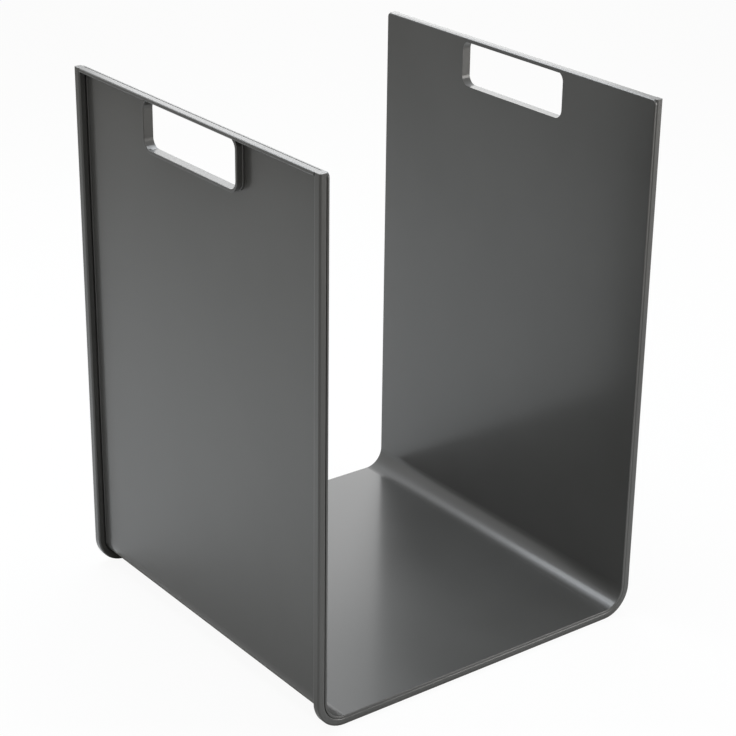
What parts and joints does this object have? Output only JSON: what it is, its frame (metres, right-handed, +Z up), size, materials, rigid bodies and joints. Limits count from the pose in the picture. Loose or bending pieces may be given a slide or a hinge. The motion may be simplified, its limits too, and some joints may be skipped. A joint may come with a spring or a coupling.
{
  "type": "firewood rack",
  "caption": "Open steel firewood rack bent from one sheet into walls and floor, with steel bars round its edges and a hand hole in each wall.",
  "frame": {"origin": "on the ground, below the middle of the rack", "axes": "+X from the left wall to the right wall, +Y from the open front to the open rear, +Z up"},
  "size_m": [0.324, 0.336, 0.45],
  "materials": {
    "black_powder_coat": "satin black powder coat"
  },
  "bodies": {
    "root": {"body_sheet": "black_powder_coat", "front_frame": "black_powder_coat", "rear_frame": "black_powder_coat", "left_top_rail": "black_powder_coat", "right_top_rail": "black_powder_coat", "left_grip_rim": "black_powder_coat", "right_grip_rim": "black_powder_coat"}
  },
  "joints": []
}
